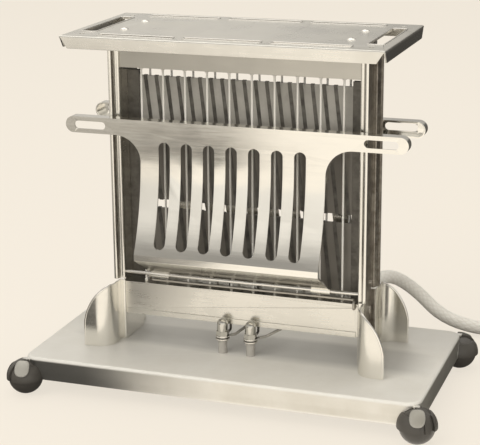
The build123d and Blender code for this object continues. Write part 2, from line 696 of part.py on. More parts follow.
with BuildPart() as cord_coil:
    with BuildSketch(Plane.XZ.offset(-coil_y)):
        with Locations((coil_x + coil_r, coil_h / 2)):
            RectangleRounded(2 * coil_half, coil_h, 3.9)
    revolve(axis=Axis((coil_x, coil_y, 0), (0, 0, 1)))
    add(rod_along((1, 0, 0), (entry_x, entry_y, floor_z), cord_d, coil_x - entry_x + 2))
    add(rod_along((1, 0, 0), (coil_x - 2, entry_y, coil_h / 2), cord_d, plug_x - coil_x + 2))
save(cord_coil, "cord_coil")

plug_y, plug_z = entry_y, coil_h / 2
with BuildPart() as plug_body:
    for x0, x1, r in ((0, 8, 6.5), (8, 12, 9.0), (12, 32, plug_z - 0.1)):
        add(rod_along((1, 0, 0), (plug_x + x0, plug_y, plug_z), 2 * r, x1 - x0))
    fillet(plug_body.edges().filter_by(GeomType.CIRCLE).group_by(Axis.X)[-1], 1.5)
    for s in ends:
        add(box(plug_x + 24, plug_x + 33, plug_y + s * 6.3 - 0.8, plug_y + s * 6.3 + 0.8, plug_z - 3.15, plug_z + 3.15),
            mode=Mode.SUBTRACT)
save(plug_body, "plug_body")

with BuildPart() as plug_pins:
    for s in ends:
        add(box(plug_x + 24, plug_x + 49, plug_y + s * 6.3 - 0.75, plug_y + s * 6.3 + 0.75, plug_z - 3.1, plug_z + 3.1))
save(plug_pins, "plug_pins")
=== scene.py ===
import bpy
import bmesh
import math
from mathutils import Matrix, Vector


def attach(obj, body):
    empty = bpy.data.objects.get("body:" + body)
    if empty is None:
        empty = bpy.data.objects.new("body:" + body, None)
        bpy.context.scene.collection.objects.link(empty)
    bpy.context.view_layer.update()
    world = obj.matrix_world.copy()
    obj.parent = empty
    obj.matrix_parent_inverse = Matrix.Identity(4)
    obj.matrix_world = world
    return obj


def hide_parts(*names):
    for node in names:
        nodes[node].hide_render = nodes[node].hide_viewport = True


# Drop side toaster: materials, trim pieces, cord, light and camera.
# Metres, in the frame of the CAD: X along the length, -Y is the front, +Z up, floor at z = 0.

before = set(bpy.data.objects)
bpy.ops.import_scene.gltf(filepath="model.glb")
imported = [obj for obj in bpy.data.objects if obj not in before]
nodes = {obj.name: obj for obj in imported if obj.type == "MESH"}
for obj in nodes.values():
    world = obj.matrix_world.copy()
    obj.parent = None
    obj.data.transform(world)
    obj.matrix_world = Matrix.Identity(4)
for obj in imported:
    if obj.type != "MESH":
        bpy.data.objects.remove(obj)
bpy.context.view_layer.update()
scene = bpy.context.scene
scene.view_settings.view_transform = "Standard"


# ---------------- sizes that the looks follow ----------------
def corners(name):
    """Low and high corner of a CAD node, to a hundredth of a millimetre."""
    obj = nodes[name]
    places = [obj.matrix_world @ vertex.co for vertex in obj.data.vertices]
    return tuple([round(pick(axis), 5) for axis in zip(*places)] for pick in (min, max))


SHEET = 0.0010                      # base, standards and tray

# base: the balls and the faces of its skirts, which lie 1 mm outside the balls' centres
BALL_R = 0.0096
BALL_FLAT = 0.00015                 # taken off the ball where it stands
foot_low, foot_high = corners("foot_back_right")
BALL = ((foot_low[0] + foot_high[0]) / 2, (foot_low[1] + foot_high[1]) / 2, BALL_R - BALL_FLAT)
SKIRT_X, SKIRT_Y = BALL[0] + 0.0010, BALL[1] + 0.0010
BASE_TOP = corners("base_plate")[1][2]
CUP_R = BALL_R + 0.0002 + SHEET     # outside of the cups

# tray
TRAY_X, TRAY_Y, TRAY_TOP = corners("top_tray")[1]
TRAY_END_X = TRAY_X - 0.00925       # middle of the end slots
TRAY_SIDE_Y = TRAY_Y - 0.0083       # middle of the long slots
LONG_SLOT, LONG_SLOT_PITCH, LONG_SLOT_CORNER = (0.0426, 0.0051), 0.048, 0.0015      # along X and Y
END_SLOT, END_SLOT_CORNER = (0.0086, 0.0546), 0.0018

# standards: web, step and edge strip above, wings below; X and Y of the sheet's middle line
WEB_OUT = 0.0690                    # outer face of the web
STEP_X, STEP_Y = 0.0704, 0.0129
EDGE_Y = 0.0159
FLANGE_BOTTOM = 0.0582
WING_ROOT, WING_R = STEP_X + 0.0008, 0.009
WING_X = corners("right_standard")[1][0]
WING_Y = corners("right_standard")[1][1] - SHEET / 2
WING_KNEE, WING_TOP = 0.035, 0.0573
WING_BULGE = (0.0052, 0.0087)       # of its outline: in from the side edge, down from the top

# ---------------- colours ----------------
BLACK, WHITE = (0.0, 0.0, 0.0), (1.0, 1.0, 1.0)
NICKEL = (0.80, 0.785, 0.74)
CUP_BLACK = (0.075, 0.069, 0.060)
PAPER = (0.871, 0.807, 0.708)       # the photograph's pale ground
STUDIO = (0.90, 0.86, 0.79)
LAMP = (1.0, 0.97, 0.92)

# ---------------- camera ----------------
PHOTO_WIDTH = 480                   # pixels
FOCAL_LENGTH = 1503.3               # pixels
SENSOR_WIDTH = 36.0                 # millimetres
CAMERA_YAW, CAMERA_PITCH, CAMERA_ROLL = 19.159, 16.077, -0.489      # degrees
CAMERA_TARGET = (-0.0009, -0.00677, 0.09489)
CAMERA_DISTANCE = 0.8282


def aim(cam, yaw, pitch, roll, target, distance):
    """Stands the camera at a distance from the target, turned right of the front and raised."""
    back = Vector((math.sin(yaw) * math.cos(pitch), -math.cos(yaw) * math.cos(pitch), math.sin(pitch)))
    level = (-back).cross(Vector((0, 0, 1))).normalized()
    upright = level.cross(-back)
    right = level * math.cos(roll) + upright * math.sin(roll)
    up = upright * math.cos(roll) - level * math.sin(roll)
    place = Matrix((right, up, back)).transposed().to_4x4()
    place.translation = Vector(target) + back * distance
    cam.matrix_world = place


cam_data = bpy.data.cameras.new("camera")
cam_data.sensor_fit = "HORIZONTAL"
cam_data.sensor_width = SENSOR_WIDTH
cam_data.lens = FOCAL_LENGTH / PHOTO_WIDTH * SENSOR_WIDTH
cam_data.clip_start = 0.05
camera = bpy.data.objects.new("camera", cam_data)
scene.collection.objects.link(camera)
aim(camera, math.radians(CAMERA_YAW), math.radians(CAMERA_PITCH), math.radians(CAMERA_ROLL),
    CAMERA_TARGET, CAMERA_DISTANCE)
scene.camera = camera


# ---------------- node helpers ----------------
def scaled(colour, by):
    """A colour made darker or lighter, by one factor or by one for each channel."""
    factors = by if isinstance(by, tuple) else (by, by, by)
    return tuple(min(1.0, channel * factor) for channel, factor in zip(colour, factors))


class Nodes:
    """Short calls that build the node tree of a material or a world."""

    def __init__(self, owner):
        owner.use_nodes = True
        self.tree = owner.node_tree

    def node(self, kind, **values):
        """New node; a value goes to the input of that name, or else to the node's own setting."""
        n = self.tree.nodes.new(kind)
        for key, value in values.items():
            if key in n.inputs:
                self.put(n.inputs[key], value)
            else:
                setattr(n, key, value)
        return n

    def put(self, socket, value):
        """Links a socket to the input, or sets the input to a value."""
        if isinstance(value, bpy.types.NodeSocket):
            self.tree.links.new(value, socket)
        elif socket.type == "RGBA" and len(value) == 3:
            socket.default_value = (*value, 1.0)
        else:
            socket.default_value = value

    def fill(self, node, values):
        """Links or sets the first inputs of a node, in their order."""
        for socket, value in zip(node.inputs, values):
            self.put(socket, value)

    def math(self, operation, *values):
        n = self.node("ShaderNodeMath", operation=operation)
        self.fill(n, values)
        return n.outputs[0]

    def vector(self, operation, *values):
        n = self.node("ShaderNodeVectorMath", operation=operation)
        self.fill(n, values)
        number = operation in ("DOT_PRODUCT", "DISTANCE", "LENGTH")
        return n.outputs["Value" if number else "Vector"]

    def split(self, vector):
        """X, Y and Z of a vector."""
        n = self.node("ShaderNodeSeparateXYZ")
        self.put(n.inputs[0], vector)
        return tuple(n.outputs)

    def place(self):
        """Where a point is on the object."""
        return self.node("ShaderNodeTexCoord").outputs["Object"]

    def folded(self):
        """Where a point is, with left and right and with front and back folded together."""
        return self.vector("ABSOLUTE", self.place())

    def coords(self, scale=(1, 1, 1), rotation=(0, 0, 0)):
        """Where a point is on the object, stretched and turned."""
        return self.node("ShaderNodeMapping", Vector=self.place(), Scale=scale,
                         Rotation=rotation).outputs["Vector"]

    def noise(self, scale, detail=5.0, rough=0.55, vector=None):
        n = self.node("ShaderNodeTexNoise", Scale=scale, Detail=detail, Roughness=rough)
        self.put(n.inputs["Vector"], self.coords() if vector is None else vector)
        return n.outputs["Fac"]

    def ramp(self, factor, *stops):
        """Colours along the factor, from (position, colour) stops."""
        n = self.node("ShaderNodeValToRGB", Fac=factor)
        while len(n.color_ramp.elements) < len(stops):
            n.color_ramp.elements.new(0.5)
        for element, (position, colour) in zip(n.color_ramp.elements, stops):
            element.position = position
            element.color = (*colour, 1.0)
        return n.outputs["Color"]

    def remap(self, value, across, levels, kind="LINEAR"):
        """The first level up to the start of a stretch, the second from its end on, and a slope across it."""
        n = self.node("ShaderNodeMapRange", interpolation_type=kind)
        self.fill(n, (value, *across, *levels))
        return n.outputs["Result"]

    def soft_step(self, value, across, levels):
        """As remap, with a slope that starts and ends gently."""
        return self.remap(value, across, levels, kind="SMOOTHSTEP")

    def spread(self, noise, low, high):
        """Spreads the usual range of a noise over low to high."""
        return self.remap(noise, (0.3, 0.7), (low, high))

    def mix(self, factor, a, b):
        """Colour a where the factor is 0, colour b where it is 1."""
        n = self.node("ShaderNodeMix", data_type="RGBA")
        factor_in, a_in, b_in = n.inputs[0], n.inputs[6], n.inputs[7]
        for socket, value in ((factor_in, factor), (a_in, a), (b_in, b)):
            self.put(socket, value)
        return n.outputs[2]

    def bump(self, height, strength, distance, below=None):
        """Relief of a height, on top of the relief below it."""
        n = self.node("ShaderNodeBump", Strength=strength, Distance=distance, Height=height)
        if below is not None:
            self.put(n.inputs["Normal"], below)
        return n.outputs["Normal"]

    def flat_direction(self, vector):
        """Direction on the ground plane, without its height."""
        return self.vector("NORMALIZE", self.vector("MULTIPLY", vector, (1, 1, 0)))

    def towards(self, vector, direction):
        """1 where the vector points in the direction, 0 at a right angle to it."""
        return self.vector("DOT_PRODUCT", vector, Vector(direction).normalized())

    def largest(self, first, *others):
        """The largest of some values."""
        for other in others:
            first = self.math("MAXIMUM", first, other)
        return first


class Mat(Nodes):
    """A material with one Principled shader."""

    def __init__(self, name):
        self.mat = bpy.data.materials.new(name)
        super().__init__(self.mat)
        self.inputs = self.tree.nodes["Principled BSDF"].inputs

    def surface(self, **values):
        """Sets or links inputs of the shader; base_color stands for Base Color."""
        for key, value in values.items():
            name = key.replace("_", " ").title().replace("Ior", "IOR")
            self.put(self.inputs[name], value)

    def now(self, name):
        """What feeds an input of the shader now."""
        return self.inputs[name].links[0].from_socket

    def cover(self, *layers):
        """Lays (mask, strength, colour) over the base colour, the last layer on top."""
        colour = self.now("Base Color")
        for mask, strength, tint in layers:
            colour = self.mix(self.math("MULTIPLY", mask, strength), colour, tint)
        self.surface(base_color=colour)


# ---------------- metals ----------------
def nickel(name, tone, rough, spread=0.07, tarnish=0.16, grain=0.15, metal=1.0):
    """Polished nickel plate: soft reflections, faint tarnish clouds, wiping marks and worn edges."""
    m = Mat(name)
    clouds = m.noise(scale=23.0, detail=6.0, rough=0.62)
    fine = m.noise(scale=420.0, detail=3.0, rough=0.6)
    stretched = m.coords(scale=(1.0, 1.0, 14.0), rotation=(0.25, 0.4, 0.1))
    wipes = m.noise(scale=60.0, detail=3.0, rough=0.6, vector=stretched)
    point = m.node("ShaderNodeNewGeometry").outputs["Pointiness"]
    worn = m.ramp(point, (0.46, BLACK), (0.56, WHITE))
    tarnished = scaled(tone, (1 - tarnish, 1 - tarnish * 1.1, 1 - tarnish * 1.35))
    plate = m.mix(m.remap(clouds, (0.38, 0.72), (0.0, 1.0)), tone, tarnished)
    uneven = m.spread(clouds, rough - spread, rough + spread)
    grained = m.bump(fine, strength=grain, distance=0.00004)
    m.surface(base_color=m.mix(worn, plate, scaled(tone, 1.12)),
              roughness=m.math("ADD", uneven, m.spread(wipes, -0.035, 0.035)),
              metallic=metal,
              normal=m.bump(wipes, strength=0.12, distance=0.00005, below=grained))
    return m


def base_nickel(name, tone, rough, metal, **more):
    """The base's plate: cups black; painted shade on the top under the aprons, towards the back and on the
    left, and on the end skirts and the left of the front skirt.
    """
    m = nickel(name, tone, rough, metal=metal, **more)
    past_faces, cup_reach = 0.0002, 0.0125
    skirt_metal = 0.9
    apron_shade_deep, apron_shade_across = (0.012, 0.022), (0.088, 0.114)
    left_shade_level, back_shade_level, back_shade_deep = 0.30, 0.42, (-0.010, 0.035)
    x, y, z = m.split(m.place())
    folded = m.folded()
    across, deep, _ = m.split(folded)
    skirt = m.remap(z, (BASE_TOP - 2 * SHEET, BASE_TOP - SHEET), (1.0, 0.0))
    top = m.math("SUBTRACT", 1.0, skirt)
    west = m.remap(x, (-0.075, 0.005), (1.0, 0.0))

    outside = m.largest(m.math("GREATER_THAN", across, SKIRT_X + past_faces),
                        m.math("GREATER_THAN", deep, SKIRT_Y + past_faces))
    cup = m.math("MULTIPLY", outside, m.math("LESS_THAN", m.vector("DISTANCE", folded, BALL), cup_reach))
    not_cup = m.math("SUBTRACT", 1.0, cup)
    front = m.math("LESS_THAN", y, SHEET - SKIRT_Y)
    # painted shade: the left part of the front skirt darkened
    painted_shade_left_skirt = m.math("MULTIPLY", m.math("MULTIPLY", west, skirt), front)
    # painted shade: both end skirts darkened
    shaded_end_face = m.math("GREATER_THAN", across, SKIRT_X - SHEET - 0.0003)
    painted_shade_ends = m.math("MULTIPLY", shaded_end_face, skirt)
    # painted shade on the top: darker along the middle under the aprons, towards the back and on the left
    painted_shade_under_apron = m.math("MULTIPLY", m.remap(deep, apron_shade_deep, (0.72, 0.0)),
                    m.remap(across, apron_shade_across, (1.0, 0.0)))
    painted_shade_left_and_back = m.math("MULTIPLY_ADD", west, left_shade_level, m.remap(y, back_shade_deep, (0.0, back_shade_level)))
    painted_shade_on_top = m.math("MULTIPLY", m.largest(painted_shade_under_apron, painted_shade_left_and_back), top)

    m.cover((painted_shade_on_top, 1.0, scaled(tone, 0.55)), (painted_shade_ends, 0.50, scaled(tone, 0.15)),
            (painted_shade_left_skirt, 0.78, scaled(tone, 0.12)), (cup, 1.0, CUP_BLACK))
    plated = m.math("ADD", m.math("MULTIPLY", skirt, skirt_metal), m.math("MULTIPLY", top, metal))
    m.surface(metallic=m.math("MULTIPLY", not_cup, plated))
    return m


def tray_nickel(name, tone, rough, **more):
    """The tray's plate, with painted shade on its two end flanges."""
    m = nickel(name, tone, rough, **more)
    across, _, high = m.split(m.folded())
    shaded_end_face = m.remap(across, (TRAY_X - 0.00085, TRAY_X - 0.00025), (0.0, 1.0))
    flange = m.remap(high, (TRAY_TOP - 0.0018, TRAY_TOP - 0.0005), (1.0, 0.0))
    # painted shade: the end flanges darkened
    m.cover((m.math("MULTIPLY", shaded_end_face, flange), 0.75, scaled(tone, 0.22)))
    return m


def post_nickel(name, tone, rough, **more):
    """The standards' plate, with mottled brown painted shade on the faces inside the channel that each
    standard's flanges make outside.
    """
    m = nickel(name, tone, rough, **more)
    into, channel_rough = 0.0003, 0.22
    across, deep, high = m.split(m.folded())
    web = m.math("MULTIPLY", m.math("GREATER_THAN", across, WEB_OUT - into),
                 m.math("LESS_THAN", deep, STEP_Y))
    riser = m.math("MULTIPLY", m.math("GREATER_THAN", across, STEP_X + into),
                   m.math("LESS_THAN", deep, EDGE_Y))
    above_wings = m.math("GREATER_THAN", high, FLANGE_BOTTOM - into)
    # painted shade: web and riser faces darkened and made rougher
    painted_shade_channel = m.largest(web, m.math("MULTIPLY", riser, above_wings))
    shade_brown = m.ramp(m.noise(scale=210.0, detail=6.0, rough=0.7),
                   (0.36, (0.24, 0.218, 0.188)), (0.66, (0.46, 0.43, 0.38)))
    m.cover((painted_shade_channel, 1.0, shade_brown))
    m.surface(roughness=m.math("MULTIPLY_ADD", painted_shade_channel, channel_rough, m.now("Roughness")))
    return m


def oxidised(name, low, high, metal=0.75):
    """Resistance ribbon and strip that have been red hot many times."""
    m = Mat(name)
    scale = m.noise(scale=150.0, detail=5.0, rough=0.6)
    m.surface(base_color=m.ramp(scale, (0.35, low), (0.70, high)),
              roughness=m.spread(scale, 0.38, 0.68),
              metallic=metal,
              normal=m.bump(scale, strength=0.3, distance=0.00005))
    return m


def drawn_wire(name, tone, rough=0.30, metal=1.0):
    """Bright drawn wire with lengthwise draw marks and heat tint."""
    m = Mat(name)
    marks = m.noise(scale=300.0, detail=3.0, rough=0.5, vector=m.coords(scale=(9.0, 9.0, 0.35)))
    tint = m.noise(scale=18.0, detail=4.0, rough=0.6)
    m.surface(base_color=m.mix(m.spread(tint, 0.0, 0.55), tone, scaled(tone, (0.86, 0.82, 0.75))),
              roughness=m.spread(marks, rough - 0.06, rough + 0.12),
              metallic=metal,
              normal=m.bump(marks, strength=0.15, distance=0.00003))
    return m


# ---------------- enamel, mica, porcelain and moulded stuff ----------------
def enamel_black(name):
    """Black enamel on turned wood, rubbed thin in places."""
    m = Mat(name)
    wear = m.noise(scale=70.0, detail=6.0, rough=0.6)
    specks = m.noise(scale=900.0, detail=2.0, rough=0.5)
    m.surface(base_color=m.ramp(wear, (0.35, (0.062, 0.057, 0.050)), (0.62, (0.085, 0.078, 0.068)),
                                (0.78, (0.14, 0.125, 0.105))),
              roughness=m.spread(wear, 0.30, 0.55),
              coat_weight=0.25,
              coat_roughness=0.25,
              normal=m.bump(specks, strength=0.25, distance=0.00005))
    return m


def mica(name):
    """Split mica: silvery flakes above, with dark brown painted shade below, where the doors cover it."""
    m = Mat(name)
    flaky = m.node("ShaderNodeTexVoronoi", Scale=95.0, Randomness=1.0, Vector=m.coords())
    flakes = flaky.outputs["Distance"]
    layers = m.noise(scale=28.0, detail=6.0, rough=0.65)
    silvery = m.ramp(layers, (0.30, (0.26, 0.25, 0.225)), (0.52, (0.40, 0.385, 0.35)),
                     (0.72, (0.54, 0.52, 0.48)))
    _, _, high = m.split(m.place())
    ragged = m.math("MULTIPLY_ADD", layers, 0.016, high)
    # painted shade: dark below the level of the doors
    painted_shade_behind_doors = m.remap(ragged, (0.142, 0.160), (1.0, 0.0))
    m.surface(base_color=m.mix(m.remap(flakes, (0.2, 0.8), (0.0, 0.35)), silvery, (0.46, 0.44, 0.40)),
              roughness=m.spread(layers, 0.28, 0.55),
              specular_ior_level=0.9,
              metallic=0.25,
              normal=m.bump(flakes, strength=0.3, distance=0.0001))
    m.cover((painted_shade_behind_doors, 0.80, (0.13, 0.115, 0.095)))
    return m


def porcelain(name, low, high):
    """Glazed ceramic, slightly uneven in tone."""
    m = Mat(name)
    glaze = m.noise(scale=85.0, detail=5.0, rough=0.6)
    specks = m.noise(scale=700.0, detail=2.0, rough=0.5)
    m.surface(base_color=m.ramp(glaze, (0.35, low), (0.65, high)),
              roughness=m.spread(glaze, 0.28, 0.5),
              normal=m.bump(specks, strength=0.2, distance=0.00005))
    return m


def composition(name):
    """Moulded black composition with faint mottling."""
    m = Mat(name)
    mottling = m.noise(scale=120.0, detail=6.0, rough=0.65)
    m.surface(base_color=m.ramp(mottling, (0.35, (0.016, 0.014, 0.013)), (0.7, (0.042, 0.034, 0.028))),
              roughness=m.spread(mottling, 0.25, 0.42),
              normal=m.bump(mottling, strength=0.15, distance=0.00006))
    return m


# ---------------- cloth ----------------
def braided_cotton(name, turns_along, round_count, light=(0.66, 0.62, 0.53), dark=(0.36, 0.33, 0.27)):
    """Braided cotton: two sets of crossing strands, fuzz between them."""
    m = Mat(name)
    along, around, _ = m.split(m.node("ShaderNodeTexCoord").outputs["UV"])
    strands = []
    for sign in (1, -1):
        phase = m.math("ADD", m.math("MULTIPLY", along, turns_along * 2 * math.pi),
                       m.math("MULTIPLY", around, sign * round_count * 2 * math.pi))
        strands.append(m.math("ABSOLUTE", m.math("SINE", phase)))
    fuzz = m.noise(scale=900.0, detail=4.0, rough=0.7)
    cloth = m.math("MULTIPLY_ADD", fuzz, 0.45, m.math("MULTIPLY", *strands))
    m.surface(base_color=m.ramp(cloth, (0.10, dark), (0.75, light)),
              roughness=0.9,
              sheen_weight=0.25,
              normal=m.bump(cloth, strength=0.45, distance=0.0004))
    return m


def woven_tape(name):
    """Plain woven cotton tape."""
    m = Mat(name)
    threads = {"Scale": 700.0, "Distortion": 0.6}
    warp = m.node("ShaderNodeTexWave", Vector=m.coords(rotation=(0.0, 0.0, 0.35)), **threads)
    weft = m.node("ShaderNodeTexWave", Vector=m.coords(), bands_direction="Z", **threads)
    cloth = m.math("MULTIPLY", warp.outputs["Fac"], weft.outputs["Fac"])
    m.surface(base_color=m.ramp(cloth, (0.05, (0.40, 0.36, 0.28)), (0.6, (0.72, 0.67, 0.55))),
              roughness=0.92,
              normal=m.bump(cloth, strength=0.5, distance=0.0002))
    return m


# ---------------- CAD nodes: edges and materials ----------------
def soften(obj, width):
    """Rounds the sheet edges with modifiers only; the mesh itself is left alone."""
    weld = obj.modifiers.new("weld", "WELD")
    weld.merge_threshold = 0.000004
    bevel = obj.modifiers.new("edge", "BEVEL")
    bevel.width = width
    bevel.segments = 2
    bevel.limit_method = "ANGLE"
    bevel.angle_limit = math.radians(32.0)
    bevel.harden_normals = False
    bevel.use_clamp_overlap = True
    obj.data.shade_smooth()
    flat = obj.modifiers.new("normals", "WEIGHTED_NORMAL")
    flat.keep_sharp = True
    flat.weight = 60


def finish_node(name, material, edge):
    """Gives a CAD node its material and, where edge isn't 0, rounded sheet edges."""
    obj = nodes[name]
    obj.data.materials.clear()
    obj.data.materials.append(material.mat)
    if edge:
        soften(obj, edge)


bright = nickel("nickel_bright", (0.84, 0.82, 0.78), 0.20, tarnish=0.1)
claw_plate = nickel("nickel_claw", (0.42, 0.41, 0.375), 0.50, tarnish=0.35, grain=0.4, metal=0.5)
ribbon = oxidised("ribbon", (0.10, 0.095, 0.086), (0.24, 0.228, 0.205))
strip_steel = oxidised("channel_steel", (0.10, 0.095, 0.085), (0.26, 0.245, 0.22), metal=0.9)
clay = porcelain("porcelain", (0.70, 0.66, 0.57), (0.80, 0.77, 0.69))
# grey steatite and lead cloth, darkened further to the shade under the aprons: painted shade
steatite = porcelain("steatite", (0.34, 0.325, 0.295), (0.42, 0.40, 0.365))
lead_cloth = braided_cotton("lead_cloth", 30.0, 3.0, light=(0.40, 0.385, 0.35), dark=(0.30, 0.285, 0.25))

# material, rounding of its sheet edges, nodes
FINISHES = (
    (base_nickel("nickel_base", NICKEL, 0.45, metal=0.24, tarnish=0.2, grain=0.3), 0.00022, ("base_plate",)),
    (tray_nickel("nickel_tray", NICKEL, 0.30, tarnish=0.2), 0.00022, ("top_tray",)),
    (post_nickel("nickel_standard", NICKEL, 0.20), 0.00022, ("left_standard", "right_standard")),
    (nickel("nickel_door", NICKEL, 0.15, spread=0.05), 0.00018, ("front_door", "back_door")),
    # a darker copy of the nickel: painted shade of the doors over the aprons
    (nickel("nickel_apron_shaded", (0.68, 0.665, 0.62), 0.28), 0.00016, ("front_apron", "back_apron")),
    # a darker copy of the nickel: painted shade of the tray over the headers
    (nickel("nickel_header_shaded", (0.50, 0.485, 0.445), 0.36, tarnish=0.25), 0.00016,
     ("front_header", "back_header")),
    # a darker copy of the nickel: painted shade on the nuts
    (nickel("nickel_nut_shaded", (0.58, 0.57, 0.53), 0.10, tarnish=0.1), 0.00012, ("acorn_nuts",)),
    (bright, 0.00012, ("front_hinge_rod", "back_hinge_rod", "terminal_washers", "terminal_studs",
                       "tray_rivets", "side_rivets")),
    # painted light: near-white and mostly non-metal, so the wires stay bright in the doors' shade
    (drawn_wire("guard_wire", (0.96, 0.95, 0.91), metal=0.12), 0.0,
     ("front_guard_wires", "back_guard_wires")),
    (drawn_wire("spring_steel", (0.55, 0.53, 0.49), 0.34), 0.0, ("front_door_spring", "back_door_spring")),
    (drawn_wire("plug_brass", (0.72, 0.55, 0.26), 0.26), 0.0001, ("plug_pins",)),
    (strip_steel, 0.0001, ("left_element_channel", "right_element_channel")),
    (ribbon, 0.0, ("upper_heating_ribbon", "lower_heating_ribbon", "element_leads")),
    (mica("mica"), 0.0, ("upper_mica_card", "lower_mica_card")),
    (enamel_black("ball_black"), 0.0,
     ("foot_front_left", "foot_front_right", "foot_back_left", "foot_back_right")),
    (clay, 0.0, ("terminal_block", "cord_bushing")),
    (steatite, 0.0, ("terminal_sleeves",)),
    (composition("plug_black"), 0.0002, ("plug_body",)),
    (braided_cotton("relief_cloth", 12.0, 6.0), 0.0, ("cord_strain_relief",)),
    (lead_cloth, 0.0, ("supply_leads",)),
)
for material, edge, names in FINISHES:
    for name in names:
        finish_node(name, material, edge)


# ---------------- new pieces ----------------
def curve_piece(name, lines, radius, material, kind="POLY", closed=False, resolution=3):
    """Round rods along lists of points, as one piece on the frame; NURBS points only steer the curve."""
    data = bpy.data.curves.new(name, "CURVE")
    data.dimensions = "3D"
    for points in lines:
        spline = data.splines.new(kind)
        spline.points.add(len(points) - 1)
        for point, place in zip(spline.points, points):
            point.co = (*place, 1.0)
        spline.use_cyclic_u = closed
        spline.use_smooth = True
        if kind == "NURBS":
            spline.order_u = 3
            spline.use_endpoint_u = True
            spline.resolution_u = 8
    data.bevel_depth = radius
    data.bevel_resolution = resolution
    data.use_fill_caps = True
    data.materials.append(material.mat)
    obj = bpy.data.objects.new(name, data)
    scene.collection.objects.link(obj)
    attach(obj, "frame")
    return obj


def sheet_piece(name, bm, thickness, material):
    """A sheet of some thickness about the faces of a bmesh, as one piece on the frame."""
    bmesh.ops.recalc_face_normals(bm, faces=bm.faces)
    mesh = bpy.data.meshes.new(name)
    bm.to_mesh(mesh)
    bm.free()
    mesh.shade_smooth()
    mesh.materials.append(material.mat)
    obj = bpy.data.objects.new(name, mesh)
    scene.collection.objects.link(obj)
    shell = obj.modifiers.new("shell", "SOLIDIFY")
    shell.thickness = thickness
    shell.offset = 0.0
    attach(obj, "frame")
    return obj


def join_rings(bm, a, b):
    """Four-sided faces between two closed rings of as many points."""
    for i in range(len(a)):
        j = (i + 1) % len(a)
        bm.faces.new((a[i], b[i], b[j], a[j]))


def rounded_loop(centre, size, corner, steps=6):
    """Flat outline of a rectangle with round corners."""
    points = []
    for quarter, (sx, sy) in enumerate(((1, 1), (-1, 1), (-1, -1), (1, -1))):
        for i in range(steps + 1):
            a = math.pi / 2 * (quarter + i / steps)
            points.append((centre[0] + sx * (size[0] / 2 - corner) + corner * math.cos(a),
                           centre[1] + sy * (size[1] / 2 - corner) + corner * math.sin(a)))
    return points


def arc_through(a, b, c, count):
    """Points on the circle through three (x, z) points."""
    d = 2 * (a[0] * (b[1] - c[1]) + b[0] * (c[1] - a[1]) + c[0] * (a[1] - b[1]))
    sq = [p[0] ** 2 + p[1] ** 2 for p in (a, b, c)]
    mid_x = (sq[0] * (b[1] - c[1]) + sq[1] * (c[1] - a[1]) + sq[2] * (a[1] - b[1])) / d
    mid_z = (sq[0] * (c[0] - b[0]) + sq[1] * (a[0] - c[0]) + sq[2] * (b[0] - a[0])) / d
    radius = math.hypot(a[0] - mid_x, a[1] - mid_z)
    start = math.atan2(a[1] - mid_z, a[0] - mid_x)
    end = math.atan2(c[1] - mid_z, c[0] - mid_x)
    angles = [start + (end - start) * i / count for i in range(count + 1)]
    return [(mid_x + radius * math.cos(t), mid_z + radius * math.sin(t)) for t in angles]


# ---------------- beads round the tray's slots ----------------
outlines = [rounded_loop((x, s * TRAY_SIDE_Y), LONG_SLOT, LONG_SLOT_CORNER)
            for x in (-LONG_SLOT_PITCH, 0.0, LONG_SLOT_PITCH) for s in (-1, 1)]
outlines += [rounded_loop((s * TRAY_END_X, 0.0), END_SLOT, END_SLOT_CORNER) for s in (-1, 1)]
slot_rims = [[(x, y, TRAY_TOP) for x, y in outline] for outline in outlines]
curve_piece("tray_slot_rims", slot_rims, radius=0.00045, material=bright, closed=True)


# ---------------- beads along the standards' wings ----------------
def wing_y(x):
    """Where the wing's sheet is, seen from above."""
    across = max(0.0, WING_ROOT + WING_R - x)
    return WING_Y - WING_R + math.sqrt(max(0.0, WING_R ** 2 - across ** 2))


wing_foot = BASE_TOP + 0.0002           # just clear of the base
wing_edge = [(WING_X, wing_foot), (WING_X, (wing_foot + WING_KNEE) / 2)]
wing_edge += arc_through((WING_X, WING_KNEE), (WING_X - WING_BULGE[0], WING_TOP - WING_BULGE[1]),
                         (WING_ROOT + SHEET, WING_TOP), count=24)
for sx, side in ((-1, "left"), (1, "right")):
    rims = [[(sx * x, sy * wing_y(x), z) for x, z in wing_edge] for sy in (-1, 1)]
    curve_piece(side + "_wing_rims", rims, radius=0.00072, material=bright)

# ---------------- claws over the balls ----------------
CLAW_R = CUP_R + 0.00035                # a little proud of the blackened cup
CLAW_TURN, CLAW_RISE = math.radians(12), math.radians(44)       # its middle, from +Y towards X, and up
CLAW_HALF_WIDTH, CLAW_HALF_HEIGHT = 0.44, 0.46                  # radians
CLAW_TAPER = 0.12                       # narrows it, most at its top
CLAW_POWER = 2.6                        # of its outline: 2 is an ellipse, more is squarer


